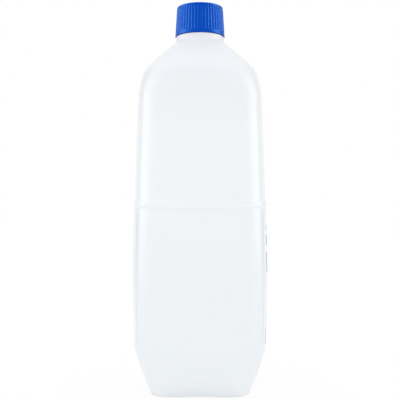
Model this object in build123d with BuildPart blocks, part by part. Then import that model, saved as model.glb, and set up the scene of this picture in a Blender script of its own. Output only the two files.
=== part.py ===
from build123d import *
import math
import os

# A square water bottle of two litres, blow moulded in natural polyethylene, with a screw cap,
# a sealing wad, two side labels and the water in it.
# It stands on z = 0 and is centred on the z axis. The labelled sides face +x and -x, the plain
# sides face -y and +y, and the mould's parting plane is x = 0. All lengths are millimetres.

# Body of the bottle, outside
belly_width = 101.4
belly_depth = 106.4
belly_corner = 17.0
belly_swell = 1.05
upper_width = 100.0
upper_depth = 106.0
upper_corner = 17.5
chest_width = 95.0
chest_depth = 99.5
chest_corner = 18.0
side_turn_x = 14.5
side_turn_y = 13.5

# Heights of the body's edges above the standing ring
foot_height = 26.5
foot_rise = 10.5
rib_bottom = 134.5
rib_height = 7.8
chest_height = 222.0
shoulder_height = 247.2

# Foot and base
base_width = 77.2
base_depth = 83.2
base_corner = 11.0
base_turn_x = 9.0
base_turn_y = 3.0
foot_corner = 28.0
foot_swell = 1.0
base_edge = 1.8
base_edge_draw = 0.9
dish_width = 54.0
dish_depth = 58.0
dish_height = 3.6
dish_corner = 14.0
dish_slope = 4.5
pinch_width = 25.0
pinch_height = 0.55
pinch_ridge_width = 1.6
pinch_ridge_height = 0.7

# Rib between the label zone and the upper body
rib_proud = 0.75
rib_groove = 0.4

# Shoulder, neck and its thread
shoulder_radius = 38.4
ring_turn = 22.5
cone_slope = 40.3
collar_radius = 18.6
collar_height = 4.5
collar_fillet = 4.0
collar_edge = 0.6
neck_radius = 15.2
neck_height = 20.6
neck_bore = 13.2
lip_edge = 0.5
wall = 0.8
thread_pitch = 4.0
thread_height = 1.1
thread_root = 2.0
thread_crest = 1.0
thread_sink = 0.4
neck_thread_turns = 1.5
neck_thread_top = 7.6

# Screw cap
cap_rim_radius = 19.25
cap_top_radius = 17.8
cap_top_edge = 0.9
cap_roof = 1.4
cap_wall_clearance = 0.45
cap_gap = 0.2
cap_band = 2.6
cap_thread_turns = 1.25
cap_thread_drop = 1.65
grip_count = 48
grip_width = 1.2
grip_depth = 0.38
grip_top_gap = 0.6

# Sealing wad
wad_thickness = 1.0
wad_clearance = 0.35

# Labels
label_width = 76.0
label_height = 97.0
label_corner = 4.0
label_film = 0.15
label_glue = 0.1
label_bottom = 34.5

# Water
water_gap = 0.1
fill_height = 226.4

# Length that cuts run on past the solid
overrun = 2.0

# Derived heights and radii
rib_top = rib_bottom + rib_height
cone_run = math.tan(math.radians(cone_slope))
normal_out = math.sin(math.radians(cone_slope))
normal_up = math.cos(math.radians(cone_slope))
cone_top = shoulder_height + (shoulder_radius - collar_radius) * cone_run
collar_top = cone_top + collar_height
lip_height = collar_top + neck_height
wad_radius = neck_radius + thread_height + cap_wall_clearance - wad_clearance
cap_bottom = collar_top + cap_gap
cap_underside = lip_height + wad_thickness
cap_top = cap_underside + cap_roof
cap_bore = neck_radius + thread_height + cap_wall_clearance
neck_thread_bottom = lip_height - neck_thread_top - neck_thread_turns * thread_pitch
cap_thread_bottom = neck_thread_bottom - cap_thread_drop

# Rows of sections up the body. Each row is (share of the zone's height, share of the change).
edge_shares = ((0.0, 1.0), (0.29, 0.29), (1.0, 0.0))
foot_shares = ((0.0, 0.0), (0.5, 0.57), (1.0, 1.0))
crease_shares = ((0.0, 0.0), (0.25, 0.58), (0.5, 0.86), (0.75, 0.97), (1.0, 1.0))
belly_shares = ((0.0, 0.0), (0.25, 0.71), (0.5, 1.0), (0.75, 0.71), (1.0, 0.0))
chest_shares = ((0.0, 0.0), (0.5, 0.44), (1.0, 1.0))
shoulder_shares = ((0.0, 0.0, 0.0), (0.22, 0.1, 0.14), (0.44, 0.22, 0.24), (0.64, 0.37, 0.33),
                   (0.81, 0.6, 0.5), (0.92, 0.82, 0.62), (1.0, 1.0, normal_up))
rib_shares = ((0.0, 0.0, 0.0), (0.2, -1.0, 0.0), (0.42, 0.7, 0.25), (0.62, 1.0, 0.5),
              (0.82, 0.8, 0.75), (0.93, 0.3, 0.95), (1.0, 0.0, 1.0))


def between(low, high, share):
    """The value that lies at a share of the way from low to high."""
    return low + (high - low) * share


def section(height, half_width, half_depth, corner, turn_x, turn_y):
    """A four-sided outline with crowned sides and round corners, at a height.

    turn_x and turn_y are half the angle that the x and y sides turn through, in degrees. The radii of
    the sides follow, so that side and corner arcs are tangent. With all sizes alike it is a circle."""
    cos_x, sin_x = math.cos(math.radians(turn_x)), math.sin(math.radians(turn_x))
    cos_y, sin_y = math.cos(math.radians(turn_y)), math.sin(math.radians(turn_y))
    across = half_width + corner * (sin_y - cos_x)
    along = half_depth - corner * (cos_y - sin_x)
    scale = (1 - cos_x) * (1 - cos_y) - sin_x * sin_y
    radius_x = (across * (1 - cos_y) - along * sin_y) / scale
    radius_y = (along * (1 - cos_x) - across * sin_x) / scale
    middle_x = half_width - radius_x
    middle_y = half_depth - radius_y
    corner_x = middle_x + (radius_x - corner) * cos_x
    corner_y = (radius_x - corner) * sin_x
    with BuildSketch(Plane.XY.offset(height)) as outline:
        with BuildLine():
            CenterArc((middle_x, 0), radius_x, -turn_x, 2 * turn_x)
            CenterArc((corner_x, corner_y), corner, turn_x, 90 - turn_x - turn_y)
            CenterArc((0, middle_y), radius_y, 90 - turn_y, 2 * turn_y)
            CenterArc((-corner_x, corner_y), corner, 90 + turn_y, 90 - turn_x - turn_y)
            CenterArc((-middle_x, 0), radius_x, 180 - turn_x, 2 * turn_x)
            CenterArc((-corner_x, -corner_y), corner, 180 + turn_x, 90 - turn_x - turn_y)
            CenterArc((0, -middle_y), radius_y, 270 - turn_y, 2 * turn_y)
            CenterArc((corner_x, -corner_y), corner, 270 + turn_y, 90 - turn_x - turn_y)
        make_face()
    return outline.sketch


def inset_section(height, width, depth, corner, inset, turn_x=side_turn_x, turn_y=side_turn_y):
    """The body's section of a full width and depth, drawn in by inset all round."""
    return section(height, width / 2 - inset, depth / 2 - inset, corner - inset, turn_x, turn_y)


def edge_sections(inset):
    """The rounded edge round the base, up to where the foot starts."""
    rows = []
    for height_share, draw_share in edge_shares:
        height = inset + base_edge * height_share
        draw = base_edge_draw * draw_share
        rows.append(inset_section(height, base_width - 2 * draw, base_depth - 2 * draw,
                                  base_corner - draw, inset, base_turn_x, base_turn_y))
    return rows


def foot_sections(inset):
    """The tapered foot, whose sides swell a little between the base and the crease."""
    rows = []
    for height_share, width_share in foot_shares:
        height = between(inset + base_edge, foot_height, height_share)
        width = between(base_width, belly_width - 2 * foot_swell, width_share)
        depth = between(base_depth, belly_depth - 2 * foot_swell, width_share)
        corner = between(base_corner, foot_corner, height_share)
        turn_x = between(base_turn_x, side_turn_x, height_share)
        turn_y = between(base_turn_y, side_turn_y, height_share)
        rows.append(inset_section(height, width, depth, corner, inset, turn_x, turn_y))
    return rows


def crease_sections(inset):
    """The rounded crease over the foot. Its corners reach higher than the middles of its sides."""
    rows = []
    for height_share, width_share in crease_shares:
        height = foot_height + foot_rise * height_share
        width = belly_width - 2 * foot_swell * (1 - width_share)
        depth = belly_depth - 2 * foot_swell * (1 - width_share)
        corner = between(foot_corner, belly_corner, height_share)
        rows.append(inset_section(height, width, depth, corner, inset))
    return rows


def belly_sections(inset):
    """The label zone, whose labelled sides swell under the weight of the water."""
    bottom = foot_height + foot_rise
    rows = []
    for height_share, swell_share in belly_shares:
        height = between(bottom, rib_bottom, height_share)
        width = belly_width + 2 * belly_swell * swell_share
        rows.append(inset_section(height, width, belly_depth, belly_corner, inset))
    return rows


def rib_sections(inset):
    """The rib between label zone and upper body, with a shallow groove under it."""
    rows = []
    for height_share, proud_share, step_share in rib_shares:
        height = rib_bottom + rib_height * height_share
        proud = rib_proud * proud_share if proud_share > 0 else rib_groove * proud_share
        width = between(belly_width, upper_width, step_share) + 2 * proud
        depth = between(belly_depth, upper_depth, step_share) + 2 * proud
        corner = between(belly_corner, upper_corner, step_share) + proud
        rows.append(inset_section(height, width, depth, corner, inset))
    return rows


def chest_sections(inset):
    """The upper body, which narrows a little towards the shoulder."""
    rows = []
    for height_share, width_share in chest_shares:
        height = between(rib_top, chest_height, height_share)
        width = between(upper_width, chest_width, width_share)
        depth = between(upper_depth, chest_depth, width_share)
        corner = between(upper_corner, chest_corner, height_share)
        rows.append(inset_section(height, width, depth, corner, inset))
    return rows


def shoulder_sections(inset):
    """The shoulder, which goes from the square body to a round ring at the foot of the cone."""
    rows = []
    for height_share, width_share, lean_share in shoulder_shares:
        upright_share = math.sqrt(1 - lean_share * lean_share)
        height = between(chest_height, shoulder_height, height_share) - inset * lean_share
        half_width = between(chest_width / 2, shoulder_radius, width_share) - inset * upright_share
        half_depth = between(chest_depth / 2, shoulder_radius, width_share) - inset * upright_share
        corner = between(chest_corner, shoulder_radius, width_share) - inset * upright_share
        turn_x = between(side_turn_x, ring_turn, width_share)
        turn_y = between(side_turn_y, ring_turn, width_share)
        rows.append(section(height, half_width, half_depth, corner, turn_x, turn_y))
    return rows


def dish_sections(inset):
    """The hollow under the base. Inside the bottle it is larger by the wall's thickness."""
    rows = []
    for height, drawn_in in ((0, 0), (dish_height + inset, dish_slope)):
        half_width = dish_width / 2 + inset - drawn_in
        half_depth = dish_depth / 2 + inset - drawn_in
        rows.append(section(height, half_width, half_depth, dish_corner, side_turn_x, side_turn_y))
    return rows


def body_form(inset):
    """The closed form of the body up to the shoulder ring, drawn in by inset all round."""
    with BuildPart() as form:
        loft(edge_sections(inset))
        loft(foot_sections(inset))
        loft(crease_sections(inset))
        loft(belly_sections(inset))
        loft(rib_sections(inset))
        loft(chest_sections(inset))
        loft(shoulder_sections(inset))
        loft(dish_sections(inset), mode=Mode.SUBTRACT)
    return form.part


def thread(root_radius, bottom, turns, outward):
    """A right-hand thread ridge on a wall of root_radius, standing outward (1) or inward (-1)."""
    with BuildPart() as ridge:
        with BuildLine() as path:
            Helix(thread_pitch, thread_pitch * turns, root_radius, center=(0, 0, bottom))
        with BuildSketch(Plane(origin=path.line @ 0, x_dir=(outward, 0, 0), z_dir=path.line % 0)):
            with BuildLine():
                Polyline((-thread_sink, -thread_root / 2), (0, -thread_root / 2),
                         (thread_height, -thread_crest / 2), (thread_height, thread_crest / 2),
                         (0, thread_root / 2), (-thread_sink, thread_root / 2), close=True)
            make_face()
        sweep(path=path.line, is_frenet=True)
    return ridge.part


# Bottle: one blow moulding, in two solids that meet on the plane at the foot of the cone
outer_form = body_form(0)
cavity_form = body_form(wall)
neck_thread = thread(neck_radius, neck_thread_bottom, neck_thread_turns, 1)
cavity_ring = shoulder_radius - wall * normal_out
cavity_cone_bottom = shoulder_height - wall * normal_up
cavity_cone_top = cavity_cone_bottom + (cavity_ring - neck_bore) * cone_run

with BuildPart() as neck_cavity:
    with BuildSketch(Plane.XZ):
        with BuildLine():
            Polyline((0, cavity_cone_bottom), (cavity_ring, cavity_cone_bottom),
                     (neck_bore, cavity_cone_top), (neck_bore, lip_height + overrun),
                     (0, lip_height + overrun), close=True)
        make_face()
    revolve(axis=Axis.Z)

with BuildPart() as neck:
    with BuildSketch(Plane.XZ) as neck_profile:
        with BuildLine():
            Polyline((0, shoulder_height), (shoulder_radius, shoulder_height),
                     (collar_radius, cone_top), (collar_radius, collar_top),
                     (neck_radius, collar_top), (neck_radius, lip_height), (0, lip_height), close=True)
        make_face()
        corners = neck_profile.vertices().filter_by_position(Axis.X, collar_radius, collar_radius)
        fillet(corners.sort_by(Axis.Y)[0], collar_fillet)
        fillet(corners.sort_by(Axis.Y)[-1], collar_edge)
        rim = neck_profile.vertices().filter_by_position(Axis.X, neck_radius, neck_radius)
        fillet(rim.sort_by(Axis.Y)[-1], lip_edge)
    revolve(axis=Axis.Z)
    add(neck_thread)
    add(neck_cavity.part, mode=Mode.SUBTRACT)
neck.part.label = "neck"

with BuildPart() as bottle:
    add(outer_form)
    add(cavity_form, mode=Mode.SUBTRACT)
    add(neck_cavity.part, mode=Mode.SUBTRACT)
    with BuildSketch(Plane.XY):
        Rectangle(pinch_width, base_depth)
    extrude(amount=pinch_height, mode=Mode.SUBTRACT)
    with BuildSketch(Plane.XY.offset(dish_height - pinch_ridge_height)):
        Rectangle(pinch_ridge_width, dish_depth - 2 * dish_slope - 2 * dish_corner)
    extrude(amount=pinch_ridge_height + wall / 2)
bottle.part.label = "bottle"

# Cap: a drafted skirt with a roof, an inside thread and upright grip grooves over a plain band
cap_height = cap_top - cap_bottom
grip_bottom = cap_bottom + cap_band
grip_top = cap_top - cap_top_edge - grip_top_gap
cap_draft = (cap_rim_radius - cap_top_radius) / cap_height
grip_bottom_radius = cap_rim_radius - cap_draft * cap_band - grip_depth
grip_top_radius = cap_rim_radius - cap_draft * (grip_top - cap_bottom) - grip_depth
cap_thread = thread(cap_bore, cap_thread_bottom, cap_thread_turns, -1)

with BuildPart() as grip_groove:
    with BuildSketch(Plane.XZ):
        with BuildLine():
            Polyline((grip_bottom_radius, grip_bottom + grip_depth), (grip_top_radius, grip_top),
                     (cap_rim_radius + overrun, grip_top), (cap_rim_radius + overrun, grip_bottom),
                     (grip_bottom_radius + grip_depth, grip_bottom), close=True)
        make_face()
    extrude(amount=grip_width / 2, both=True)

with BuildPart() as cap:
    with BuildSketch(Plane.XZ) as cap_profile:
        with BuildLine():
            Polyline((cap_bore, cap_bottom), (cap_rim_radius, cap_bottom), (cap_top_radius, cap_top),
                     (0, cap_top), (0, cap_underside), (cap_bore, cap_underside), close=True)
        make_face()
        fillet(cap_profile.vertices().sort_by(Axis.Y).filter_by_position(Axis.X, cap_top_radius,
                                                                         cap_top_radius), cap_top_edge)
    revolve(axis=Axis.Z)
    with PolarLocations(0, grip_count):
        add(grip_groove.part, mode=Mode.SUBTRACT)
    add(cap_thread)
cap.part.label = "cap"

# Sealing wad: a foam disc under the cap's roof, on the lip of the neck
with BuildPart() as cap_liner:
    with BuildSketch(Plane.XY.offset(lip_height)):
        Circle(wad_radius)
    extrude(amount=wad_thickness)
cap_liner.part.label = "cap_liner"


# Labels: thin films on the two swelling sides
def label_film_on(side):
    """The film on the +x side (side 1) or the -x side (side -1)."""
    with BuildPart() as film:
        loft(crease_sections(-label_glue - label_film))
        loft(belly_sections(-label_glue - label_film))
        loft(crease_sections(-label_glue), mode=Mode.SUBTRACT)
        loft(belly_sections(-label_glue), mode=Mode.SUBTRACT)
        with BuildSketch(Plane(origin=(0, 0, label_bottom + label_height / 2), x_dir=(0, 1, 0),
                               z_dir=(side, 0, 0))):
            RectangleRounded(label_width, label_height, label_corner)
        extrude(amount=belly_width, mode=Mode.INTERSECT)
    return film.part


with BuildPart() as front_label:
    add(label_film_on(1))
front_label.part.label = "front_label"

with BuildPart() as back_label:
    add(label_film_on(-1))
back_label.part.label = "back_label"

# Water: it fills the body up to the filling line
with BuildPart() as water:
    add(body_form(wall + water_gap))
    split(bisect_by=Plane.XY.offset(fill_height), keep=Keep.BOTTOM)
water.part.label = "water"

os.makedirs("parts", exist_ok=True)
export_step(bottle.part, "parts/bottle.step")
export_step(neck.part, "parts/neck.step")
export_step(cap.part, "parts/cap.step")
export_step(cap_liner.part, "parts/cap_liner.step")
export_step(front_label.part, "parts/front_label.step")
export_step(back_label.part, "parts/back_label.step")
export_step(water.part, "parts/water.step")
for piece in (bottle, neck, cap, cap_liner, front_label, back_label, water):
    print(piece.part.label, round(piece.part.volume), len(piece.part.solids()), piece.part.is_valid)
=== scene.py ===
import math
from functools import partial

import bmesh
import bpy
from bpy.props import FloatProperty, FloatVectorProperty, IntProperty, PointerProperty
from bpy.types import Operator, Panel, PropertyGroup, Scene
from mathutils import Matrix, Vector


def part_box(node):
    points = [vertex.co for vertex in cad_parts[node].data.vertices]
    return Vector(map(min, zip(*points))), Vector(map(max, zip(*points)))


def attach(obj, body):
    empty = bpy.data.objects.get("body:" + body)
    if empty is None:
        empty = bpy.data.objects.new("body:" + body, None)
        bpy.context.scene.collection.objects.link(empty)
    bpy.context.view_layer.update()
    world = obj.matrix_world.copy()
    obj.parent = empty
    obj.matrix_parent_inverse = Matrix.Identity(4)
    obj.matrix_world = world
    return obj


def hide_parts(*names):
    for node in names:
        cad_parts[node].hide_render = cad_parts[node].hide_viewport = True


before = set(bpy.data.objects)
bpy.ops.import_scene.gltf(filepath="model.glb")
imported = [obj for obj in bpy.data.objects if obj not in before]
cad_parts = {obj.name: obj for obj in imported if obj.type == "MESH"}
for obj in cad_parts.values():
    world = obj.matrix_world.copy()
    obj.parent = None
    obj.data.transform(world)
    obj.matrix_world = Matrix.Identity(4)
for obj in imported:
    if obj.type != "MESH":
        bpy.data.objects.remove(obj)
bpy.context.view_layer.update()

bl_info = {
    "name": "Square Water Bottle",
    "version": (1, 0, 0),
    "blender": (4, 5, 0),
    "location": "View3D > Sidebar > Water Bottle",
    "description": "Dresses a blow-moulded two litre water bottle with its cap, wad, labels and water",
    "category": "Object",
}

LIP_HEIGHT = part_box("neck")[1].z
CAP_BOTTOM, CAP_TOP = (corner.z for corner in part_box("cap"))
LABEL_LOW, LABEL_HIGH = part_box("front_label")
WATER_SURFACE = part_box("water")[1].z
MM = 0.001
# A length that keeps a division from being by nothing
TINY = 1e-9
# Half the angle that each of the four sides turns where the outline is a circle
ROUND_TURN = math.pi / 8

# Rows up the body, the same as in the part's source: share of the zone's height, share of the change.
# The rib's rows have how far it stands out before the change, and the shoulder's end with the wall's lean.
EDGE_ROWS = ((0.0, 1.0), (0.1, 0.57), (0.29, 0.29), (0.6, 0.08), (1.0, 0.0))
FOOT_ROWS = ((0.0, 0.0), (0.5, 0.57), (1.0, 1.0))
CREASE_ROWS = ((0.0, 0.0), (0.25, 0.58), (0.5, 0.86), (0.75, 0.97), (1.0, 1.0))
BELLY_ROWS = ((0.0, 0.0), (0.25, 0.71), (0.5, 1.0), (0.75, 0.71), (1.0, 0.0))
RIB_ROWS = ((0.0, 0.0, 0.0), (0.2, -1.0, 0.0), (0.42, 0.7, 0.25), (0.62, 1.0, 0.5),
            (0.82, 0.8, 0.75), (0.93, 0.3, 0.95), (1.0, 0.0, 1.0))
CHEST_ROWS = ((0.0, 0.0), (0.5, 0.44), (1.0, 1.0))
SHOULDER_ROWS = ((0.0, 0.0, 0.0), (0.22, 0.1, 0.14), (0.44, 0.22, 0.24), (0.64, 0.37, 0.33),
                 (0.81, 0.6, 0.5), (0.92, 0.82, 0.62))

# Rows under the base: shares of the hollow's roof, then its side as shares of its height and its slope,
# then shares of the way from its rim to the base's edge
HOLLOW_SHARES = (0.35, 0.7)
SLOPE_ROWS = ((1.0, 0.0), (0.97, 0.12), (0.5, 0.5), (0.05, 0.9), (0.0, 1.0))
RING_SHARES = (0.25, 0.6)

# Where the columns of the mesh lie along each plain side, labelled side and corner, as shares.
# The plain sides' columns lie closer near the edges of the pinch-off recess, and the corners have
# a pair at the edge of the label panel.
PLAIN_COLUMNS = (-1, -0.86, -0.7, -0.58, -0.5, -0.36, -0.18, 0, 0.18, 0.36, 0.5, 0.58, 0.7, 0.86)
LABEL_COLUMNS = tuple(-1 + step / 6 for step in range(12))
CORNER_COLUMNS = (0, 0.1, 0.2, 0.27, 0.32, 0.42, 0.54, 0.66, 0.78, 0.9)
MIRRORED_COLUMNS = (0, *(1 - share for share in reversed(CORNER_COLUMNS[1:])))
# The panel ends at this share of the corner, and fades out over this much more
PANEL_SHARE, PANEL_FADE = 0.25, 0.09

# Shares of the cone's height at which it has rings
CONE_SHARES = (0, 0.3, 0.6, 0.85)

# Profile of the pinch-off ridge: share of its width, share of its height, sunk a little into the wall
PINCH_PROFILE = ((-0.5, -0.4), (-0.5, 0.0), (-0.42, 0.55), (-0.25, 0.9), (0.0, 1.0),
                 (0.25, 0.9), (0.42, 0.55), (0.5, 0.0), (0.5, -0.4))

# Depth of a grip at each of its columns: a ridge, then a groove with a rounded floor. The first column
# is turned so that a groove's middle lies on the X axis.
GRIP_COLUMNS = (0.0, 0.0, 0.0, 0.45, 0.92, 1.0, 0.92, 0.45)
GRIP_TURN = 3
GRIP_FADE_SHARES = (0.0, 0.35, 0.7, 1.0)
# Rings of the cap: shares of the grips' full height, and of the radius on its top and under its roof
GRIP_SHARES = (0.2, 0.4, 0.6, 0.8)
TOP_SHARES = (0.97, 0.6, 0.25)
UNDERSIDE_SHARES = (0.3, 0.97)

# Turns of the rounded label corners, rows between them, and columns across a label
LABEL_TURNS = (0, 22, 45, 67, 90)
LABEL_ROWS = 40
LABEL_STEPS = 24

# Fields of the print, from the top: height of the middle, half height, whether it is waved, colour
PRINT_FIELDS = ((121.5, 1.6, False, "print_mid"), (112.2, 3.8, False, "print_deep"),
                (95.5, 7.6, False, "print_deep"), (43.0, 12.5, True, "print_pale"),
                (38.0, 6.0, True, "print_mid"))
# The plain drop, round below and drawn to a point above: share of its height, half width in drop units
DROP_OUTLINE = ((0.08, 0.22), (0.32, 0.36), (0.6, 0.22))

# Softboxes, in metres and degrees: name, place, turn about Y, height (width overhead), length along Y
SOFTBOXES = (("left_softbox", (-0.9, -0.1, 0.5), -90, 0.9, 0.7),
             ("right_softbox", (0.9, -0.1, 0.5), 90, 0.9, 0.7),
             ("top_softbox", (0.0, -0.1, 1.1), 0, 0.9, 0.9))
# Upright dark cards, in metres: name, start and end on the floor, height. Gloss shows them: the dark end
# of the studio behind the camera, and a flag at each side behind the bottle, which draws its edges.
DARK_CARDS = (("dark_end", (-0.7, -0.9), (1.3, -0.9), 1.2),
              ("dark_side", (1.3, -0.9), (1.3, -0.55), 1.2),
              ("left_flag", (-0.62, 0.3), (-0.5, 0.56), 0.9),
              ("right_flag", (0.62, 0.3), (0.5, 0.56), 0.9))
FLOOR_REACH = 4.0
SENSOR_WIDTH = 36


def sized(name, description, millimetres):
    """A length property, given in millimetres."""
    return FloatProperty(name=name, description=description, default=millimetres * MM, unit="LENGTH",
                         subtype="DISTANCE", precision=5)


def turned(name, description, degrees):
    """An angle property, given in degrees."""
    return FloatProperty(name=name, description=description, default=math.radians(degrees),
                         subtype="ANGLE", unit="ROTATION")


def linear(code):
    """A colour written as an sRGB hex value, such as 0xF2F5F7, as the linear colour that shaders take."""
    parts = ((code >> shift & 255) / 255 for shift in (16, 8, 0))
    return tuple(p / 12.92 if p <= 0.04045 else ((p + 0.055) / 1.055) ** 2.4 for p in parts)


def coloured(name, description, code):
    """A colour property, given as an sRGB hex value."""
    return FloatVectorProperty(name=name, description=description, default=linear(code), size=3,
                               subtype="COLOR", min=0, max=1)


class BodySizes(PropertyGroup):
    belly_width: sized("Belly width", "Width over the label zone at its ends", 101.4)
    belly_depth: sized("Belly depth", "Depth over the label zone", 106.4)
    belly_corner: sized("Belly corner", "Corner radius of the label zone", 17)
    belly_swell: sized("Belly swell", "How far each labelled side swells", 1.05)
    upper_width: sized("Upper width", "Width just over the rib", 100)
    upper_depth: sized("Upper depth", "Depth just over the rib", 106)
    upper_corner: sized("Upper corner", "Corner radius over the rib", 17.5)
    chest_width: sized("Chest width", "Width where the shoulder starts", 95)
    chest_depth: sized("Chest depth", "Depth where the shoulder starts", 99.5)
    chest_corner: sized("Chest corner", "Corner radius where the shoulder starts", 18)
    side_turn_x: turned("Labelled side turn", "Half the angle a labelled side turns", 14.5)
    side_turn_y: turned("Plain side turn", "Half the angle a plain side turns", 13.5)
    foot_height: sized("Foot height", "Height of the tapered foot", 26.5)
    foot_rise: sized("Foot rise", "Height of the rounded crease over the foot", 10.5)
    foot_corner: sized("Foot corner", "Corner radius at the top of the foot", 28)
    foot_swell: sized("Foot swell", "How far the crease stands in from the belly", 1.0)
    base_width: sized("Base width", "Width at the base", 77.2)
    base_depth: sized("Base depth", "Depth at the base", 83.2)
    base_corner: sized("Base corner", "Corner radius at the base", 11)
    base_turn_x: turned("Labelled side turn, base", "Half the angle a labelled side turns at the base", 9)
    base_turn_y: turned("Plain side turn, base", "Half the angle a plain side turns at the base", 3)
    base_edge: sized("Base edge", "Height of the rounded edge of the base", 1.8)
    base_edge_draw: sized("Base edge draw", "How far that edge draws in", 0.9)
    dish_width: sized("Dish width", "Width of the hollow under the base", 54)
    dish_depth: sized("Dish depth", "Depth of the hollow under the base", 58)
    dish_corner: sized("Dish corner", "Corner radius of the hollow", 14)
    dish_height: sized("Dish height", "Height of the hollow", 3.6)
    dish_slope: sized("Dish slope", "How far the hollow's side slopes in", 4.5)
    dish_cover: sized("Dish cover", "How far the inner floor reaches past the hollow", 1.5)
    pinch_width: sized("Pinch width", "Width of the pinch-off recess", 25)
    pinch_height: sized("Pinch height", "Height of the pinch-off recess", 0.55)
    pinch_fade: sized("Pinch fade", "Width of each side wall of that recess", 0.8)
    pinch_ridge_width: sized("Pinch ridge width", "Width of the pinch-off ridge in the hollow", 1.6)
    pinch_ridge_height: sized("Pinch ridge height", "Height of that ridge", 0.7)
    rib_bottom: sized("Rib bottom", "Height of the rib's lower edge", 134.5)
    rib_height: sized("Rib height", "Height of the rib", 7.8)
    rib_proud: sized("Rib proud", "How far the rib stands out", 0.75)
    rib_groove: sized("Rib groove", "Depth of the groove under the rib", 0.4)
    chest_height: sized("Chest height", "Height where the shoulder starts", 222)
    shoulder_height: sized("Shoulder height", "Height where the cone starts", 247.2)
    shoulder_radius: sized("Shoulder radius", "Radius at the foot of the cone", 38.4)
    cone_slope: turned("Cone slope", "Slope of the cone under the collar", 40.3)
    collar_radius: sized("Collar radius", "Radius of the collar under the cap", 18.6)
    collar_height: sized("Collar height", "Height of the collar", 4.5)
    collar_fillet: sized("Collar fillet", "Fillet between cone and collar", 4)
    collar_edge: sized("Collar edge", "Rounded upper edge of the collar", 0.6)
    neck_radius: sized("Neck radius", "Outer radius of the neck", 15.2)
    neck_bore: sized("Neck bore", "Inner radius of the neck", 13.2)
    neck_fillet: sized("Neck fillet", "Fillet between collar and neck", 0.5)
    lip_edge: sized("Lip edge", "Rounded outer edge of the neck's lip", 0.5)
    lip_inner_edge: sized("Lip inner edge", "Rounded inner edge of the neck's lip", 0.3)
    wall: sized("Wall", "Thickness of the moulded wall", 0.8)
    panel_depth: sized("Panel depth", "Depth of the two label panels", 0.3)
    panel_margin: sized("Panel margin", "How far a panel reaches past its label", 1.5)
    panel_edge: sized("Panel edge", "Height over which a panel's upper and lower edges sink in", 1.2)


class ThreadSizes(PropertyGroup):
    pitch: sized("Pitch", "Rise of the thread in a turn", 4)
    height: sized("Height", "Height of the thread ridge", 1.1)
    root: sized("Root", "Width of the ridge where it meets the wall", 2)
    crest: sized("Crest", "Width of the ridge at its top", 1)
    sink: sized("Sink", "How far the ridge reaches into the wall", 0.3)
    end_sink: sized("End sink", "How far the ridge's top has sunk into the wall at its ends", 0.05)
    neck_turns: FloatProperty(name="Neck turns", description="Turns of the thread on the neck", default=1.5)
    neck_top: sized("Neck thread top", "Depth of the thread's top under the lip", 7.6)
    cap_turns: FloatProperty(name="Cap turns", description="Turns of the thread in the cap", default=1.25)
    cap_drop: sized("Cap drop", "How far the cap's thread starts under the neck's", 1.65)


class CapSizes(PropertyGroup):
    rim_radius: sized("Rim radius", "Radius at the cap's lower rim", 19.25)
    top_radius: sized("Top radius", "Radius at the cap's top", 17.8)
    top_edge: sized("Top edge", "Rounded edge of the cap's top", 0.9)
    rim_edge: sized("Rim edge", "Rounded edge of the cap's rim", 0.3)
    bore: sized("Bore", "Inner radius of the cap", 16.75)
    bore_edge: sized("Bore edge", "Bevel at the lower end of the bore", 0.25)
    roof: sized("Roof", "Thickness of the cap's roof", 1.4)
    roof_bevel: sized("Roof bevel", "Bevel between roof and bore", 0.5)
    band: sized("Band", "Height of the plain band under the grips", 2.6)
    band_gap: sized("Band gap", "How far the band's last ring stays under the grips", 0.1)
    grip_count: IntProperty(name="Grip count", description="Grip grooves round the cap", default=48, min=12)
    grip_depth: sized("Grip depth", "Depth of a grip groove", 0.38)
    grip_fade: sized("Grip fade", "Height over which a groove runs out at each end", 0.7)
    grip_top_gap: sized("Grip top gap", "Smooth ring over the grooves", 0.6)


class LabelSizes(PropertyGroup):
    corner: sized("Corner", "Corner radius of a label", 4)
    film: sized("Film", "Thickness of the label film", 0.15)
    glue: sized("Glue", "Thickness of the glue under it", 0.05)
    print_half: sized("Print, front", "Half the width of the printed fields on the front label", 25.5)
    back_print_half: sized("Print, back", "Half the width of the printed fields on the back label", 17)


class BottleColours(PropertyGroup):
    body: coloured("Body", "Natural polyethylene with water behind it", 0xF2F6F9)
    body_thin: coloured("Thin wall", "Where the wall was blown thinner", 0xF0F3F6)
    # Painted shade: a greyer tone that darkens the lower body
    body_low_shade: coloured("Low shade", "Low on the body, where the wall stayed thicker", 0xEEF2F5)
    # Painted shade: a darker tone that darkens the shoulder and neck
    body_top_shade: coloured("Top shade", "Shoulder and neck, with air behind them", 0xECEFF3)
    cap: coloured("Cap", "Blue polypropylene", 0x0644BC)
    cap_worn: coloured("Cap, rubbed", "Where hands and crates have rubbed the cap", 0x0C50C8)
    cap_gloss: coloured("Cap gloss", "Tint of the cap's shine", 0x30B0FF)
    wad: coloured("Wad", "Foam wad", 0xEBEBE6)
    film: coloured("Film", "Bare label film", 0xF2F5F8)
    print_deep: coloured("Print, deep", "Darker printed field", 0x1E55A6)
    print_mid: coloured("Print, middle", "Middle printed field", 0x4E8AD0)
    print_pale: coloured("Print, pale", "Pale printed field", 0xC9DDF1)
    water: coloured("Water", "Tint of deep water", 0xEAF6FA)
    paper: coloured("Paper", "Seamless paper of the floor, and the room's light", 0xFFFFFF)
    cloth: coloured("Cloth", "Dark cloth of the studio's cards", 0x303236)


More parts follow.
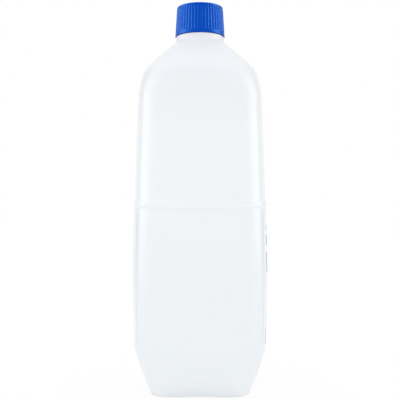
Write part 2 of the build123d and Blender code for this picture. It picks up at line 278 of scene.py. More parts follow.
class StudioSizes(PropertyGroup):
    eye_distance: sized("Eye distance", "Distance of the camera from the bottle's axis", 530)
    eye_height: sized("Eye height", "Height of the camera", 142)
    field: sized("Field", "Width that the picture shows at the bottle's axis", 312)
    side_light: FloatProperty(name="Side lights", description="Power of each side softbox", default=4.6,
                              unit="POWER")
    top_light: FloatProperty(name="Top light", description="Power of the overhead softbox", default=0.6,
                             unit="POWER")
    ambient: FloatProperty(name="Ambient", description="Strength of the room's own light", default=1.0)
    paper_glow: FloatProperty(name="Paper glow", default=0.82, min=0, max=1,
                              description="Share of the floor that the camera and gloss see as plain white")


# Meshes

def between(low, high, share):
    """The value that lies at a share of the way from low to high."""
    return low + (high - low) * share


def eased(share):
    """A share from 0 to 1 that starts and ends gently."""
    share = min(1.0, max(0.0, share))
    return share * share * (3 - 2 * share)


def through(keys, steps):
    """Rows on a smooth line through the key rows, with steps rows to each gap between keys."""
    marks = [0.0]
    for low, high in zip(keys, keys[1:]):
        marks.append(marks[-1] + max(TINY, math.dist(low[:3], high[:3])))
    slopes = []
    for i in range(len(keys)):
        a, b = max(0, i - 1), min(len(keys) - 1, i + 1)
        slopes.append([(q - p) / (marks[b] - marks[a]) for p, q in zip(keys[a], keys[b])])
    rows = []
    for i in range(len(keys) - 1):
        span = marks[i + 1] - marks[i]
        for step in range(steps):
            t = step / steps
            rows.append(tuple(
                (2 * t ** 3 - 3 * t * t + 1) * p + (t ** 3 - 2 * t * t + t) * span * m
                + (3 * t * t - 2 * t ** 3) * q + (t ** 3 - t * t) * span * n
                for p, q, m, n in zip(keys[i], keys[i + 1], slopes[i], slopes[i + 1])))
    rows.append(tuple(keys[-1]))
    return rows


def side_radii(half_width, half_depth, corner, turn_x, turn_y):
    """Radii of a labelled and a plain side that run into the corners' arcs without a kink."""
    cos_x, sin_x, cos_y, sin_y = math.cos(turn_x), math.sin(turn_x), math.cos(turn_y), math.sin(turn_y)
    across = half_width + corner * (sin_y - cos_x)
    along = half_depth - corner * (cos_y - sin_x)
    scale = (1 - cos_x) * (1 - cos_y) - sin_x * sin_y
    return (across * (1 - cos_y) - along * sin_y) / scale, (along * (1 - cos_x) - across * sin_x) / scale


def outline(half_width, half_depth, corner, turn_x, turn_y):
    """Points round a four-sided outline with crowned sides, each with its angle and its panel share."""
    radius_x, radius_y = side_radii(half_width, half_depth, corner, turn_x, turn_y)
    corner_x = half_width - radius_x + (radius_x - corner) * math.cos(turn_x)
    corner_y = (radius_x - corner) * math.sin(turn_x)
    bend = math.pi / 2 - turn_x - turn_y
    labelled_side = (half_width - radius_x, radius_x, turn_x, LABEL_COLUMNS, CORNER_COLUMNS)
    plain_side = (half_depth - radius_y, radius_y, turn_y, PLAIN_COLUMNS, MIRRORED_COLUMNS)
    points = []
    for quarter in range(4):
        labelled = quarter % 2 == 0
        side, radius, turn, side_columns, corner_columns = labelled_side if labelled else plain_side
        facing = quarter * math.pi / 2
        for column in side_columns:
            angle = facing + turn * column
            points.append((side * math.cos(facing) + radius * math.cos(angle),
                           side * math.sin(facing) + radius * math.sin(angle), angle,
                           1.0 if labelled else 0.0))
        sign_x = 1 if quarter in (0, 3) else -1
        sign_y = 1 if quarter in (0, 1) else -1
        for share in corner_columns:
            angle = facing + turn + bend * share
            away = share if labelled else 1 - share
            points.append((sign_x * corner_x + corner * math.cos(angle),
                           sign_y * corner_y + corner * math.sin(angle), angle,
                           1 - eased((away - PANEL_SHARE) / PANEL_FADE)))
    return points


def body_rows(size, inset):
    """Rows of the body from the base's edge to the cone: height, half width, half depth, corner, turns."""
    turns = (size.side_turn_x, size.side_turn_y)
    foot_bottom, foot_top = inset + size.base_edge, size.foot_height
    belly_bottom, rib_top = foot_top + size.foot_rise, size.rib_bottom + size.rib_height
    # Sections between which the rows lie: width, depth, corner, turns
    base = (size.base_width, size.base_depth, size.base_corner, size.base_turn_x, size.base_turn_y)
    foot = (size.belly_width - 2 * size.foot_swell, size.belly_depth - 2 * size.foot_swell,
            size.foot_corner, *turns)
    belly = (size.belly_width, size.belly_depth, size.belly_corner, *turns)
    swollen = (size.belly_width + 2 * size.belly_swell, *belly[1:])
    upper = (size.upper_width, size.upper_depth, size.upper_corner, *turns)
    chest = (size.chest_width, size.chest_depth, size.chest_corner, *turns)
    cone = (2 * size.shoulder_radius, 2 * size.shoulder_radius, size.shoulder_radius, ROUND_TURN, ROUND_TURN)

    def row(height, low, high, out, turned_share, proud=0.0, lean=0.0):
        """A row between two sections. Its width and depth have one share, its corner and turns another."""
        level = inset * math.sqrt(1 - lean * lean)
        width, depth = (between(low[i], high[i], out) / 2 + proud - level for i in (0, 1))
        corner, turn_x, turn_y = (between(a, b, turned_share) for a, b in zip(low[2:], high[2:]))
        return height - inset * lean, width, depth, corner + proud - level, turn_x, turn_y

    edge_rows = [row(inset + size.base_edge * up, base, base, 0, 0, -size.base_edge_draw * draw)
                 for up, draw in EDGE_ROWS]
    foot_rows = [row(between(foot_bottom, foot_top, up), base, foot, out, up) for up, out in FOOT_ROWS]
    crease_rows = [row(between(foot_top, belly_bottom, up), foot, belly, out, up) for up, out in CREASE_ROWS]
    belly_rows = [row(between(belly_bottom, size.rib_bottom, up), belly, swollen, out, up)
                  for up, out in BELLY_ROWS]
    rib_rows = [row(between(size.rib_bottom, rib_top, up), belly, upper, change, change,
                    (size.rib_proud if out > 0 else size.rib_groove) * out) for up, out, change in RIB_ROWS]
    chest_rows = [row(between(rib_top, size.chest_height, up), upper, chest, out, up)
                  for up, out in CHEST_ROWS]
    shoulder_rows = [row(between(size.chest_height, size.shoulder_height, up), chest, cone, out, out, 0, lean)
                     for up, out, lean in (*SHOULDER_ROWS, (1.0, 1.0, math.cos(size.cone_slope)))]
    rows = []
    for zone, steps in ((edge_rows, 1), (foot_rows, 6), (crease_rows, 4), (belly_rows, 8), (rib_rows, 4),
                        (chest_rows, 10), (shoulder_rows, 5)):
        rows += through(zone, steps)[:-1]
    return rows + [shoulder_rows[-1]]


def ringed(radius, height):
    """A row that is a circle."""
    return height, radius, radius, radius, ROUND_TURN, ROUND_TURN


def arc(centre, radius, start, end, steps):
    """Circle rows on an arc of the profile, whose centre is given as radius and height."""
    turns = [math.radians(between(start, end, step / steps)) for step in range(steps + 1)]
    return [ringed(centre[0] + radius * math.cos(turn), centre[1] + radius * math.sin(turn))
            for turn in turns]


def base_rows(size):
    """Rows under the base, from its middle to its edge: the hollow's roof and side, and the standing ring."""
    def hollow(height, inset, share=1.0):
        return (height, share * (size.dish_width / 2 - inset), share * (size.dish_depth / 2 - inset),
                share * size.dish_corner, size.side_turn_x, size.side_turn_y)

    rows = [hollow(size.dish_height, size.dish_slope, share) for share in HOLLOW_SHARES]
    rows += [hollow(size.dish_height * up, size.dish_slope * (1 - out)) for up, out in SLOPE_ROWS]
    rim, edge = rows[-1], body_rows(size, 0)[0]
    return rows + [tuple(between(low, high, share) for low, high in zip(rim, edge)) for share in RING_SHARES]


def neck_rows(size):
    """Rows from the foot of the cone over the collar, the neck and its lip to the foot of the bore."""
    run = math.tan(size.cone_slope)
    cone_top = size.shoulder_height + (size.shoulder_radius - size.collar_radius) * run
    collar_top = cone_top + size.collar_height
    fillet_height = cone_top + size.collar_fillet * math.tan((math.pi / 2 - size.cone_slope) / 2)
    rows = [ringed(between(size.shoulder_radius, size.collar_radius, share),
                   between(size.shoulder_height, cone_top, share)) for share in CONE_SHARES]
    # From the cone up: radius and height of the centre, radius of the bend, its start and end, its steps
    bends = (
        (size.collar_radius + size.collar_fillet, fillet_height, size.collar_fillet,
         270 - math.degrees(size.cone_slope), 180, 6),
        (size.collar_radius - size.collar_edge, collar_top - size.collar_edge, size.collar_edge, 0, 90, 4),
        (size.neck_radius + size.neck_fillet, collar_top + size.neck_fillet, size.neck_fillet, 270, 180, 3),
        (size.neck_radius - size.lip_edge, LIP_HEIGHT - size.lip_edge, size.lip_edge, 0, 90, 4),
        (size.neck_bore + size.lip_inner_edge, LIP_HEIGHT - size.lip_inner_edge, size.lip_inner_edge,
         90, 180, 3))
    for radius, height, bend, start, end, steps in bends:
        rows += arc((radius, height), bend, start, end, steps)
    ring_radius = size.shoulder_radius - size.wall * math.sin(size.cone_slope)
    ring_height = size.shoulder_height - size.wall * math.cos(size.cone_slope)
    return rows + [ringed(size.neck_bore, ring_height + (ring_radius - size.neck_bore) * run)]


def floor_rows(size):
    """Rows of the inner floor, from its edge up over the hollow of the base."""
    floor = size.dish_height + size.wall
    rows = []
    for share, height in ((0.0, size.wall), (0.45, floor), (1.0, floor)):
        width, depth = (between(side / 2 + size.dish_cover, side / 4, share)
                        for side in (size.dish_width, size.dish_depth))
        rows.append((height, width, depth, between(size.dish_corner, size.dish_corner / 2, share),
                     size.side_turn_x, size.side_turn_y))
    return rows


def add_bar(shape, sections):
    """Adds a closed bar through sections, each given as points."""
    rings = [[shape.verts.new(point) for point in section] for section in sections]
    bridge(shape, rings)
    shape.faces.new(rings[0])
    shape.faces.new(reversed(rings[-1]))


def neck_thread_bottom(size):
    """The height at which the middle of the neck's thread starts."""
    return LIP_HEIGHT - size.neck_top - size.neck_turns * size.pitch


def add_ridge(shape, size, root_radius, bottom, turns, outward):
    """Adds a thread ridge to a mesh. It runs out to nothing at both ends."""
    steps_a_turn, fade_steps = 72, 8
    steps = int(turns * steps_a_turn)
    profile = ((-size.sink, -size.root / 2), (0, -size.root / 2), (size.height, -size.crest / 2),
               (size.height, size.crest / 2), (0, size.root / 2), (-size.sink, size.root / 2))
    sections = []
    for step in range(steps + 1):
        angle = math.tau * turns * step / steps
        middle = bottom + size.pitch * turns * step / steps
        full = eased(min(step, steps - step) / fade_steps)
        radii = [root_radius + outward * (out if out < 0 else out * full - size.end_sink * (1 - full))
                 for out, up in profile]
        sections.append([(radius * math.cos(angle), radius * math.sin(angle), middle + up)
                         for radius, (out, up) in zip(radii, profile)])
    add_bar(shape, sections)


def add_pinch_ridge(shape, size):
    """Adds the ridge that the pinched parison leaves across the hollow. It runs out at both ends."""
    length = size.dish_depth - 2 * (size.dish_slope + size.dish_corner)
    steps, fade_steps = 24, 3
    sections = []
    for step in range(steps + 1):
        full = eased(min(step, steps - step) / fade_steps)
        sections.append([
            (size.pinch_ridge_width * across, length * (step / steps - 0.5),
             size.dish_height - size.pinch_ridge_height * (down * full if down > 0 else down))
            for across, down in PINCH_PROFILE])
    add_bar(shape, sections)


def bridge(shape, rings, low_centre=None, high_centre=None):
    """Joins rings of vertices with faces, and closes the ends on a middle point where one is given."""
    for low, high in zip(rings, rings[1:]):
        for a in range(len(low)):
            b = (a + 1) % len(low)
            shape.faces.new((low[a], low[b], high[b], high[a]))
    for ring, centre in ((rings[0], low_centre), (rings[-1], high_centre)):
        if centre is not None:
            middle = shape.verts.new(centre)
            for a in range(len(ring)):
                shape.faces.new((ring[a], ring[(a + 1) % len(ring)], middle))


def dress(node, material):
    """Gives a CAD node its material."""
    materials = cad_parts[node].data.materials
    materials.clear()
    materials.append(material)


def finish_piece(shape, name, material, body, nodes, sharp=40):
    """Turns a mesh into a piece that rides on a CAD body and stands for CAD nodes."""
    bmesh.ops.recalc_face_normals(shape, faces=shape.faces)
    mesh = bpy.data.meshes.new(name)
    shape.to_mesh(mesh)
    shape.free()
    mesh.materials.append(material)
    mesh.shade_smooth()
    mesh.set_sharp_from_angle(angle=math.radians(sharp))
    piece = bpy.data.objects.new(name, mesh)
    bpy.context.scene.collection.objects.link(piece)
    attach(piece, body)
    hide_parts(*nodes)


# Materials

def feed(node, inputs):
    """Sets inputs of a node. Each is a value, an output, or another node for its first output."""
    for key, value in inputs.items():
        if isinstance(value, bpy.types.Node):
            value = value.outputs[0]
        if isinstance(value, bpy.types.NodeSocket):
            node.id_data.links.new(value, node.inputs[key])
        else:
            node.inputs[key].default_value = value


def add_node(tree, kind, inputs=None, **settings):
    """Adds a node with its settings and its inputs."""
    node = tree.nodes.new(kind)
    for name, value in settings.items():
        setattr(node, name, value)
    feed(node, inputs or {})
    return node


def started(name):
    """A new material, what adds a node to it, its shader and its place in object coordinates."""
    material = bpy.data.materials.new(name)
    material.use_nodes = True
    add = partial(add_node, material.node_tree)
    shader = material.node_tree.nodes["Principled BSDF"]
    return material, add, shader, add("ShaderNodeTexCoord").outputs["Object"]


def blow_moulded_polyethylene(colours, surface):
    # Natural HDPE, extrusion blow moulded and full of water: a milky, waxy wall that lets light in,
    # clouded where it was blown thinner, with faint upright die lines and a soft, slightly uneven gloss.
    # Its tone carries painted shade: greyer low on the body, and darker on the shoulder and neck.
    cloud_size, die_line_gap, upright_squeeze = 45 * MM, 9 * MM, 0.03
    # The mould's blasted finish has grains of 0.3 mm. They are drawn at 1.6 mm, so that they show.
    grain_size = 1.6 * MM
    # Painted shade fades in down the body, and out again at the foot. More painted shade fades in
    # towards the water's surface and over it, on the shoulder and neck.
    fades = ((142 * MM, 76 * MM), (4 * MM, 24 * MM), (surface - 34 * MM, surface + 22 * MM))
    material, add, shader, place = started("natural_hdpe_blow_moulded")
    height = add("ShaderNodeSeparateXYZ", {0: place}).outputs["Z"]
    cloud = add("ShaderNodeTexNoise", {"Vector": place, "Scale": 1 / cloud_size, "Detail": 2.0})
    streaked = add("ShaderNodeVectorMath", {0: place, 1: (1.0, 1.0, upright_squeeze)}, operation="MULTIPLY")
    die_lines = add("ShaderNodeTexNoise", {"Vector": streaked, "Scale": 1 / die_line_gap, "Detail": 1.0})
    grain = add("ShaderNodeTexNoise", {"Vector": place, "Scale": 1 / grain_size, "Detail": 2.0})
    thin = add("ShaderNodeMath", {0: cloud, 1: 0.8, 2: -0.1}, operation="MULTIPLY_ADD")
    # The first two fades place painted shade low on the body, and the third places painted shade on the
    # shoulder and neck
    below, above, empty = (
        add("ShaderNodeMapRange", {"Value": height, "From Min": start, "From Max": full})
        for start, full in fades)
    lower_shade = add("ShaderNodeMath", {0: below, 1: above}, operation="MULTIPLY")
    tone = (*colours.body, 1)
    # After the random cloud of thin wall come two tones of painted shade: low on the body, and on the
    # shoulder and neck
    for share, colour in (
            (thin, colours.body_thin), (lower_shade, colours.body_low_shade), (empty, colours.body_top_shade)):
        tone = add("ShaderNodeMix", {0: share, 6: tone, 7: (*colour, 1)}, data_type="RGBA").outputs[2]
    # Roughness from 0.31 to 0.39
    rough = add("ShaderNodeMath", {0: die_lines, 1: 0.08, 2: 0.31}, operation="MULTIPLY_ADD")
    # From the coarse waves of the wall to its grain, each over the one before: depth in mm and strength
    skin = {}
    for relief, depth, strength in ((cloud, 0.5, 0.5), (die_lines, 0.01, 0.3), (grain, 0.02, 0.5)):
        bump = add("ShaderNodeBump", {"Height": relief, "Distance": depth * MM, "Strength": strength, **skin})
        skin = {"Normal": bump}
    feed(shader, {"Base Color": tone, "Roughness": rough, "IOR": 1.52, "Specular IOR Level": 0.3,
                  "Subsurface Weight": 0.2, "Subsurface Radius": (0.9, 0.95, 1.0),
                  "Subsurface Scale": 0.5 * MM, **skin})
    return material


def moulded_polypropylene(colours):
    # Polypropylene, injection moulded in a polished tool: strong blue with a soft blue gloss, a little
    # paler where hands and crates have rubbed it, with fine upright scratches that soften the shine.
    smudge_size, scratch_gap, upright_squeeze = 7 * MM, 0.8 * MM, 0.15
    material, add, shader, place = started("polypropylene_injection_moulded")
    smudge = add("ShaderNodeTexNoise", {"Vector": place, "Scale": 1 / smudge_size, "Detail": 3.0})
    worn = add("ShaderNodeMath", {0: smudge, 1: 0.6, 2: -0.22}, operation="MULTIPLY_ADD", use_clamp=True)
    tone = add("ShaderNodeMix", {0: worn, 6: (*colours.cap, 1), 7: (*colours.cap_worn, 1)}, data_type="RGBA")
    drawn_out = add("ShaderNodeVectorMath", {0: place, 1: (1.0, 1.0, upright_squeeze)}, operation="MULTIPLY")
    scratches = add("ShaderNodeTexNoise", {"Vector": drawn_out, "Scale": 1 / scratch_gap, "Detail": 3.0})
    # Roughness from 0.29 to 0.37
    rough = add("ShaderNodeMath", {0: scratches, 1: 0.08, 2: 0.29}, operation="MULTIPLY_ADD")
    skin = add("ShaderNodeBump", {"Height": scratches, "Distance": 0.01 * MM, "Strength": 0.4})
    feed(shader, {"Base Color": tone.outputs[2], "Roughness": rough, "Normal": skin,
                  "IOR": 1.49, "Specular IOR Level": 1.0, "Specular Tint": (*colours.cap_gloss, 1)})
    return material


def closed_cell_foam(colours):
    # Closed-cell EVA foam, skived and punched: off-white and dull, with cells of 0.4 mm in its faces.
    cell_size, cell_shade = 0.4 * MM, 0.82
    material, add, shader, place = started("eva_foam_punched")
    cells = add("ShaderNodeTexVoronoi", {"Vector": place, "Scale": 1 / cell_size})
    shaded = (*(part * cell_shade for part in colours.wad), 1)
    tone = add("ShaderNodeMix", {0: cells, 6: (*colours.wad, 1), 7: shaded}, data_type="RGBA")
    skin = add("ShaderNodeBump", {"Height": cells, "Distance": 0.08 * MM, "Strength": 0.7})
    feed(shader, {"Base Color": tone.outputs[2], "Roughness": 0.85, "Normal": skin})
    return material


def still_water(colours):
    # Water: clear, with a very slight blue in its depth, and a faint unevenness where it meets the wall.
    ripple_size, ripple_shade = 30 * MM, 0.97
    material, add, shader, place = started("water_still")
    ripple = add("ShaderNodeTexNoise", {"Vector": place, "Scale": 1 / ripple_size, "Detail": 1.0})
    shaded = (*(part * ripple_shade for part in colours.water), 1)
    tone = add("ShaderNodeMix", {0: ripple, 6: (*colours.water, 1), 7: shaded}, data_type="RGBA")
    skin = add("ShaderNodeBump", {"Height": ripple, "Distance": 0.05 * MM, "Strength": 0.3})
    feed(shader, {"Base Color": tone.outputs[2], "Roughness": 0.02, "Normal": skin,
                  "IOR": 1.333, "Transmission Weight": 1.0})
    return material


def printed_film(name, colours, print_half):
    # Polypropylene label film, 0.15 mm, printed in flat blue fields and varnished: white and smooth,
    # with the soft sheen of a varnish and the slight ripple of a film on a full bottle.
    wave_length, wave_height, ripple_size = 76 * MM, 2.2 * MM, 14 * MM
    drop_bottom, drop_height, drop_unit = 61 * MM, 22 * MM, 20 * MM
    material, add, shader, place = started(name)
    parts = add("ShaderNodeSeparateXYZ", {0: place})
    across, up = parts.outputs["Y"], parts.outputs["Z"]
    turn = add("ShaderNodeMath", {0: across, 1: math.tau / wave_length}, operation="MULTIPLY")
    swing = add("ShaderNodeMath", {0: turn}, operation="SINE")
    waved = add("ShaderNodeMath", {0: swing, 1: wave_height, 2: up}, operation="MULTIPLY_ADD")
    printed = add("ShaderNodeMath", {0: across, 1: 0.0, 2: print_half}, operation="COMPARE")
    layers = []
    for middle, half, is_waved, colour in PRINT_FIELDS:
        height = waved if is_waved else up
        level = add("ShaderNodeMath", {0: height, 1: middle * MM, 2: half * MM}, operation="COMPARE")
        field = add("ShaderNodeMath", {0: level, 1: printed}, operation="MULTIPLY")
        layers.append((field, getattr(colours, colour)))
    over = add("ShaderNodeMath", {0: up, 1: drop_bottom}, operation="SUBTRACT")
    share = add("ShaderNodeMath", {0: over, 1: drop_height}, operation="DIVIDE")
    drop = add("ShaderNodeFloatCurve", {"Value": share})
    curve = drop.mapping.curves[0]
    curve.points[0].location, curve.points[1].location = (0.0, 0.0), (1.0, 0.0)
    for spot in DROP_OUTLINE:
        curve.points.new(*spot)
    drop.mapping.update()
    reach = add("ShaderNodeMath", {0: drop, 1: drop_unit}, operation="MULTIPLY")
    side = add("ShaderNodeMath", {0: across}, operation="ABSOLUTE")
    in_drop = add("ShaderNodeMath", {0: side, 1: reach}, operation="LESS_THAN")
    tone = (*colours.film, 1)
    for share, colour in (*layers, (in_drop, colours.print_mid)):
        tone = add("ShaderNodeMix", {0: share, 6: tone, 7: (*colour, 1)}, data_type="RGBA").outputs[2]
    ripple = add("ShaderNodeTexNoise", {"Vector": place, "Scale": 1 / ripple_size, "Detail": 2.0})
    skin = add("ShaderNodeBump", {"Height": ripple, "Distance": 0.1 * MM, "Strength": 0.4})
    # Roughness from 0.3 to 0.4
    rough = add("ShaderNodeMath", {0: ripple, 1: 0.1, 2: 0.3}, operation="MULTIPLY_ADD")
    feed(shader, {"Base Color": tone, "Roughness": rough, "Normal": skin, "IOR": 1.49})
    return material


def seen_directly(add):
    """1 for the rays of the camera, of gloss and of clear materials, and 0 for those of matt surfaces."""
    rays = add("ShaderNodeLightPath")
    seen = rays.outputs["Is Camera Ray"]
    for kind in ("Is Glossy Ray", "Is Transmission Ray"):
        seen = add("ShaderNodeMath", {0: seen, 1: rays.outputs[kind]}, operation="MAXIMUM")
    return seen


def seamless_paper(colours, glow_share):
    # White seamless paper, uncoated and matt. The camera and gloss see it near white, with the shadow in it.
    material, add, shader, _ = started("paper_seamless_white")
    feed(shader, {"Base Color": (*colours.paper, 1), "Roughness": 0.9, "Specular IOR Level": 0.0})
    share = add("ShaderNodeMath", {0: seen_directly(add), 1: glow_share}, operation="MULTIPLY")
    glow = add("ShaderNodeEmission", {"Color": (1, 1, 1, 1), "Strength": 1.0})
    mixed = add("ShaderNodeMixShader", {0: share, 1: shader, 2: glow})
    feed(material.node_tree.nodes["Material Output"], {"Surface": mixed})
    return material


def black_cloth(colours):
    # Black cotton cloth, brushed and matt, so that gloss shows it as a soft dark shape.
    material, _, shader, _ = started("cloth_black")
    feed(shader, {"Base Color": (*colours.cloth, 1), "Roughness": 1.0})
    return material


# Operators

class BlowBody(Operator):
    """Makes the bottle: body, foot, rib, shoulder, neck, thread and base"""
    bl_idname = "water_bottle.blow_body"
    bl_label = "Bottle"

    def execute(self, context):
        size, thread = context.scene.bottle_body, context.scene.bottle_thread
        shape = bmesh.new()
        panel_bottom, panel_top = LABEL_LOW.z - size.panel_margin, LABEL_HIGH.z + size.panel_margin

        def placed(row, panel=0.0):
            points = []
            for x, y, angle, share in outline(*row[1:]):
                sunk = panel * share
                points.append(shape.verts.new((x - sunk * math.cos(angle), y - sunk * math.sin(angle),
                                               row[0])))
            return points

        def panel_at(height):
            sunk = eased((height - panel_bottom) / size.panel_edge)
            return size.panel_depth * sunk * eased((panel_top - height) / size.panel_edge)

        under = [placed(row) for row in base_rows(size)]
        body = [placed(row, panel_at(row[0])) for row in body_rows(size, 0)[:-1]]
        # The pinch-off recess crosses the standing ring and the base's edge
        for point in (point for ring in under + body for point in ring):
            if point.co.z < size.pinch_height:
                reach = (size.pinch_width + size.pinch_fade) / 2 - abs(point.co.x)
                point.co.z = max(point.co.z, size.pinch_height * eased(reach / size.pinch_fade))
        above = [placed(row) for row in neck_rows(size)]
        inside = [placed(row, panel_at(row[0])) for row in reversed(body_rows(size, size.wall))]
        inside += [placed(row) for row in floor_rows(size)]
        bridge(shape, under + body + above + inside,
               (0, 0, size.dish_height), (0, 0, size.dish_height + size.wall))
        add_ridge(shape, thread, size.neck_radius, neck_thread_bottom(thread), thread.neck_turns, 1)
        add_pinch_ridge(shape, size)
        material = blow_moulded_polyethylene(context.scene.bottle_colours, WATER_SURFACE)
        finish_piece(shape, "bottle_body", material, "bottle", ["bottle", "neck"])
        return {"FINISHED"}


class MouldCap(Operator):
    """Makes the screw cap with its grips, rim band, roof and inside thread"""
    bl_idname = "water_bottle.mould_cap"
    bl_label = "Cap"

    def execute(self, context):
        size, thread = context.scene.bottle_cap, context.scene.bottle_thread
        draft = (size.rim_radius - size.top_radius) / (CAP_TOP - CAP_BOTTOM)
        grip_bottom, grip_top = CAP_BOTTOM + size.band, CAP_TOP - size.top_edge - size.grip_top_gap
        columns = size.grip_count * len(GRIP_COLUMNS)
        shape = bmesh.new()

        def ring(radius, height, groove=0.0):
            points = []
            for column in range(columns):
                out = radius - groove * GRIP_COLUMNS[column % len(GRIP_COLUMNS)]
                angle = math.tau * (column + GRIP_TURN) / columns
                points.append(shape.verts.new((out * math.cos(angle), out * math.sin(angle), height)))
            return points

        def wall_ring(height, groove=0.0):
            return ring(size.rim_radius - draft * (height - CAP_BOTTOM), height, groove)

        def edge_rings(radius, height, edge, start, steps):
            rows = arc((radius, height), edge, start, start + 90, steps)
            return [ring(row[1], row[0]) for row in rows]

        edge = size.rim_edge
        rings = [ring(size.bore + size.bore_edge, CAP_BOTTOM)]
        rings += edge_rings(size.rim_radius - edge, CAP_BOTTOM + edge, edge, 270, 3)
        rings += [wall_ring(CAP_BOTTOM + size.band / 2), wall_ring(grip_bottom - size.band_gap)]
        for share in GRIP_FADE_SHARES:
            rings.append(wall_ring(grip_bottom + share * size.grip_fade, size.grip_depth * eased(share)))
        for share in GRIP_SHARES:
            rings.append(wall_ring(between(grip_bottom + size.grip_fade, grip_top - size.grip_fade, share),
                                   size.grip_depth))
        for share in reversed(GRIP_FADE_SHARES):
            rings.append(wall_ring(grip_top - share * size.grip_fade, size.grip_depth * eased(share)))
        edge_bottom = CAP_TOP - size.top_edge
        flat = size.rim_radius - draft * (edge_bottom - CAP_BOTTOM) - size.top_edge
        rings += edge_rings(flat, edge_bottom, size.top_edge, 0, 6)
        rings += [ring(share * flat, CAP_TOP) for share in TOP_SHARES]
        underside = CAP_TOP - size.roof
        inside = [ring(share * size.bore, underside) for share in UNDERSIDE_SHARES]
        inside += [ring(size.bore, height) for height in (
            underside - size.roof_bevel, between(CAP_BOTTOM, CAP_TOP, 0.5), CAP_BOTTOM + size.bore_edge)]
        bridge(shape, rings, None, (0, 0, CAP_TOP))
        bridge(shape, inside, (0, 0, underside))
        bridge(shape, [inside[-1], rings[0]])
        thread_bottom = neck_thread_bottom(thread) - thread.cap_drop
        add_ridge(shape, thread, size.bore, thread_bottom, thread.cap_turns, -1)
        finish_piece(shape, "screw_cap", moulded_polypropylene(context.scene.bottle_colours),
                     "cap", ["cap"], sharp=50)
        return {"FINISHED"}


class FitWad(Operator):
    """Gives the sealing wad under the cap's roof its foam"""
    bl_idname = "water_bottle.fit_wad"
    bl_label = "Wad"

    def execute(self, context):
        dress("cap_liner", closed_cell_foam(context.scene.bottle_colours))
        return {"FINISHED"}


class StickLabels(Operator):
    """Makes the two labels, which lie in the panels of the two swelling sides"""
    bl_idname = "water_bottle.stick_labels"
    bl_label = "Labels"

    def execute(self, context):
        size, body = context.scene.bottle_label, context.scene.bottle_body
        rows = body_rows(body, 0)
        ends = [size.corner * (1 - math.cos(math.radians(turn))) for turn in LABEL_TURNS]
        levels = [LABEL_LOW.z + end for end in ends]
        levels += [between(LABEL_LOW.z + size.corner, LABEL_HIGH.z - size.corner, step / LABEL_ROWS)
                   for step in range(1, LABEL_ROWS)]
        levels += [LABEL_HIGH.z - end for end in reversed(ends)]
        lifts = [size.glue - body.panel_depth, size.glue + size.film - body.panel_depth]
        for name, side, film, print_half in (
                ("front_label", 1, "polypropylene_film_printed_wide", size.print_half),
                ("back_label", -1, "polypropylene_film_printed_narrow", size.back_print_half)):
            shape = bmesh.new()
            rings = []
            for level in levels:
                under, over = (self.line(rows, size.corner, level, side, lift) for lift in lifts)
                rings.append([shape.verts.new(point) for point in under + over[::-1]])
            bridge(shape, rings)
            for ring in (rings[0], rings[-1]):
                for a in range(LABEL_STEPS):
                    shape.faces.new((ring[a], ring[a + 1], ring[-2 - a], ring[-1 - a]))
            material = printed_film(film, context.scene.bottle_colours, print_half)
            finish_piece(shape, name + "_film", material, "bottle", [name], sharp=60)
        return {"FINISHED"}

    def line(self, rows, corner, level, side, lift):
        """Points across a label at one level, lifted off the body's own rows."""
        lower = max(index for index, row in enumerate(rows[:-1]) if row[0] <= level)
        share = (level - rows[lower][0]) / max(TINY, rows[lower + 1][0] - rows[lower][0])
        row = [between(a, b, share) for a, b in zip(rows[lower], rows[lower + 1])]
        inset = corner - min(corner, level - LABEL_LOW.z, LABEL_HIGH.z - level)
        half = (LABEL_HIGH.y - LABEL_LOW.y) / 2 - corner + math.sqrt(max(0.0, corner ** 2 - inset ** 2))
        return [self.on_side(row, half * (2 * step / LABEL_STEPS - 1), side, lift, level)
                for step in range(LABEL_STEPS + 1)]

    def on_side(self, row, across, side, lift, level):
        """The point of the labelled side at a distance across from its middle, lifted off the wall."""
        half_width, corner, turn_x = row[1], row[3], row[4]
        radius = side_radii(*row[1:])[0]
        middle = half_width - radius
        angle = math.asin(max(-1.0, min(1.0, across / (radius + lift))))
        x = middle + (radius + lift) * math.cos(angle)
        if abs(angle) > turn_x:
            corner_x = middle + (radius - corner) * math.cos(turn_x)
            corner_y = (radius - corner) * math.sin(turn_x)
            reach = min(1.0, (abs(across) - corner_y) / (corner + lift))
            x = corner_x + (corner + lift) * math.sqrt(max(0.0, 1 - reach * reach))
        return side * x, across, level


class PourWater(Operator):
    """Gives the water in the bottle its clear, faintly blue look"""
    bl_idname = "water_bottle.pour_water"
    bl_label = "Water"

    def execute(self, context):
        dress("water", still_water(context.scene.bottle_colours))
        return {"FINISHED"}


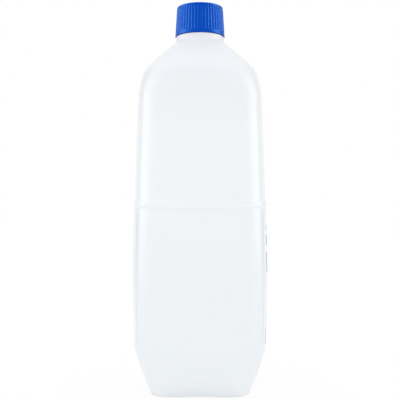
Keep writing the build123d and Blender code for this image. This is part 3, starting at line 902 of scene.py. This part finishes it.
class SetStudio(Operator):
    """Sets up the pale floor, the soft lights, the white surroundings, the dark cards and the camera"""
    bl_idname = "water_bottle.set_studio"
    bl_label = "Studio"

    def execute(self, context):
        size, colours, scene = context.scene.bottle_studio, context.scene.bottle_colours, context.scene
        scene.view_settings.view_transform = "Standard"
        self.set_camera(scene, size)
        floor = self.add_sheet(scene, "floor", [
            (x * FLOOR_REACH, y * FLOOR_REACH, 0) for x, y in ((-1, -1), (1, -1), (1, 1), (-1, 1))])
        floor.data.materials.append(seamless_paper(colours, size.paper_glow))
        self.set_surroundings(scene, size, colours)
        self.add_lamps(scene, size)
        cloth = black_cloth(colours)
        for name, start, end, height in DARK_CARDS:
            dark = self.add_sheet(scene, name, [(*start, 0), (*end, 0), (*end, height), (*start, height)])
            dark.data.materials.append(cloth)
            dark.visible_camera = False
            dark.visible_diffuse = False
            dark.visible_shadow = False
        return {"FINISHED"}

    def set_camera(self, scene, size):
        """Looks along +Y from the photograph's distance and height."""
        camera = bpy.data.cameras.new("camera")
        camera.sensor_width = SENSOR_WIDTH
        camera.lens = SENSOR_WIDTH * size.eye_distance / size.field
        eye = bpy.data.objects.new("camera", camera)
        eye.location = (0, -size.eye_distance, size.eye_height)
        eye.rotation_euler = (math.pi / 2, 0, 0)
        scene.collection.objects.link(eye)
        scene.camera = eye

    def add_sheet(self, scene, name, corners):
        """Adds a flat four-sided sheet."""
        mesh = bpy.data.meshes.new(name)
        mesh.from_pydata(corners, [], [(0, 1, 2, 3)])
        sheet = bpy.data.objects.new(name, mesh)
        scene.collection.objects.link(sheet)
        return sheet

    def set_surroundings(self, scene, size, colours):
        """A room that lights the bottle evenly, and that the camera and gloss see as plain white."""
        world = bpy.data.worlds.new("surroundings")
        world.use_nodes = True
        scene.world = world
        add, nodes = partial(add_node, world.node_tree), world.node_tree.nodes
        room = nodes["Background"]
        feed(room, {"Color": (*colours.paper, 1), "Strength": size.ambient})
        white = add("ShaderNodeBackground", {"Color": (1, 1, 1, 1), "Strength": 1.0})
        mixed = add("ShaderNodeMixShader", {0: seen_directly(add), 1: room, 2: white})
        feed(nodes["World Output"], {"Surface": mixed})

    def add_lamps(self, scene, size):
        """A softbox at each side, which only gloss shows, and a weak one overhead."""
        for name, place, turn, height, length in SOFTBOXES:
            overhead = turn == 0
            lamp = bpy.data.lights.new(name, "AREA")
            lamp.shape = "RECTANGLE"
            lamp.size, lamp.size_y = height, length
            lamp.energy = size.top_light if overhead else size.side_light
            box = bpy.data.objects.new(name, lamp)
            box.location = place
            box.rotation_euler = (0, math.radians(turn), 0)
            box.visible_camera = False
            box.visible_diffuse = overhead
            scene.collection.objects.link(box)


STEPS = (BlowBody, MouldCap, FitWad, StickLabels, PourWater, SetStudio)
GROUPS = (("bottle_body", BodySizes), ("bottle_thread", ThreadSizes), ("bottle_cap", CapSizes),
          ("bottle_label", LabelSizes), ("bottle_colours", BottleColours), ("bottle_studio", StudioSizes))


class BottlePanel(Panel):
    bl_idname = "VIEW3D_PT_water_bottle"
    bl_label = "Water Bottle"
    bl_space_type = "VIEW_3D"
    bl_region_type = "UI"
    bl_category = "Water Bottle"

    def draw(self, context):
        for step in STEPS:
            self.layout.operator(step.bl_idname)
        for name, group in GROUPS:
            box = self.layout.box()
            for key in group.__annotations__:
                box.prop(getattr(context.scene, name), key)


def register():
    for name, group in GROUPS:
        bpy.utils.register_class(group)
        setattr(Scene, name, PointerProperty(type=group))
    for step in (*STEPS, BottlePanel):
        bpy.utils.register_class(step)


def unregister():
    for step in (BottlePanel, *reversed(STEPS)):
        bpy.utils.unregister_class(step)
    for name, group in reversed(GROUPS):
        delattr(Scene, name)
        bpy.utils.unregister_class(group)


def main():
    register()
    bpy.ops.water_bottle.set_studio()
    bpy.ops.water_bottle.blow_body()
    bpy.ops.water_bottle.mould_cap()
    bpy.ops.water_bottle.fit_wad()
    bpy.ops.water_bottle.stick_labels()
    bpy.ops.water_bottle.pour_water()


if __name__ == "__main__":
    main()
